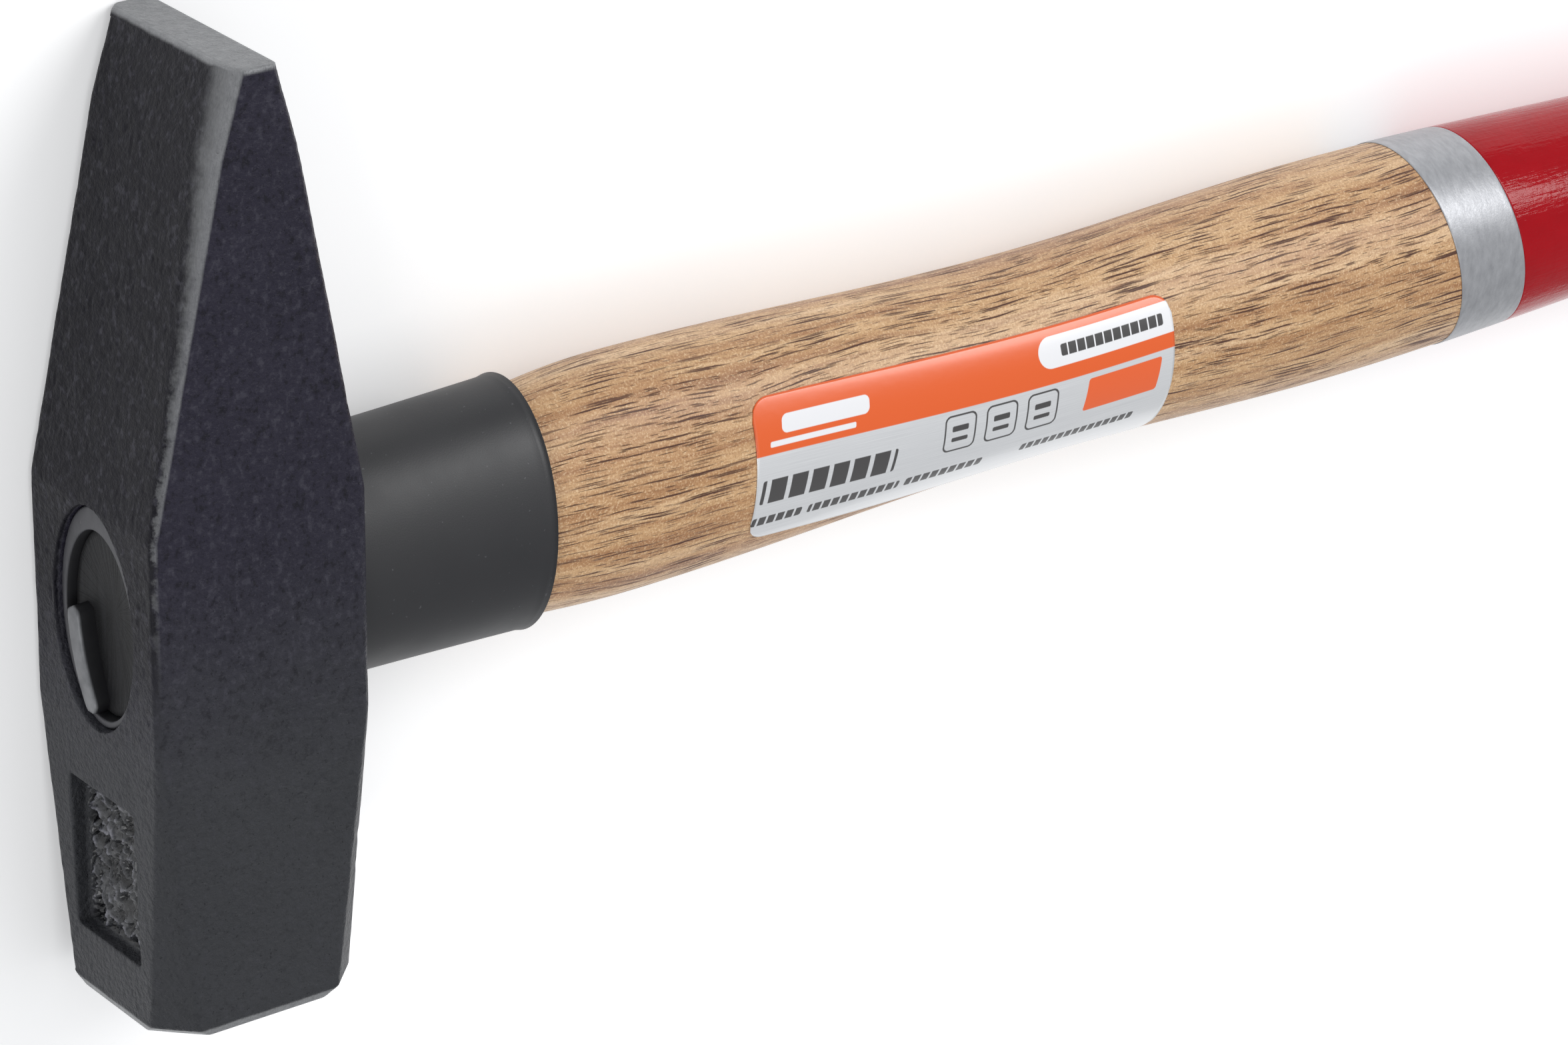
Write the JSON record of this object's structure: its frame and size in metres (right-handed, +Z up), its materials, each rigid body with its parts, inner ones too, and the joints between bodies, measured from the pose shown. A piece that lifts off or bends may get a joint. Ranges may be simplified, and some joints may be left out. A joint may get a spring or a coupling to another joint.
{
  "type": "cross-peen hammer",
  "caption": "Cross-peen hammer with a forged black head, rubber sleeve and an oval waisted wooden handle with a lacquered grip.",
  "frame": {"origin": "on the lower cheek of the head, straight under the centre of the eye; the hammer lies on that cheek", "axes": "+X along the handle from the head to the grip end, +Y to the peen (-Y is the striking face), +Z up out of the upper cheek"},
  "size_m": [0.3202, 0.118, 0.027],
  "materials": {
    "head_black": "satin black paint over forged steel, ground bare at the striking face",
    "wedge_steel": "dull steel with black paint",
    "sleeve_rubber": "matte moulded rubber",
    "handle_wood": "clear varnish over open-pored hardwood",
    "label_foil": "printed film, orange over brushed silver",
    "silver_lacquer": "metallic silver lacquer",
    "red_lacquer": "glossy crimson lacquer"
  },
  "bodies": {
    "root": {"head": "head_black", "wedge": "wedge_steel", "sleeve": "sleeve_rubber", "handle": "handle_wood", "label": "label_foil", "silver_band": "silver_lacquer", "grip_coat": "red_lacquer"}
  },
  "joints": []
}
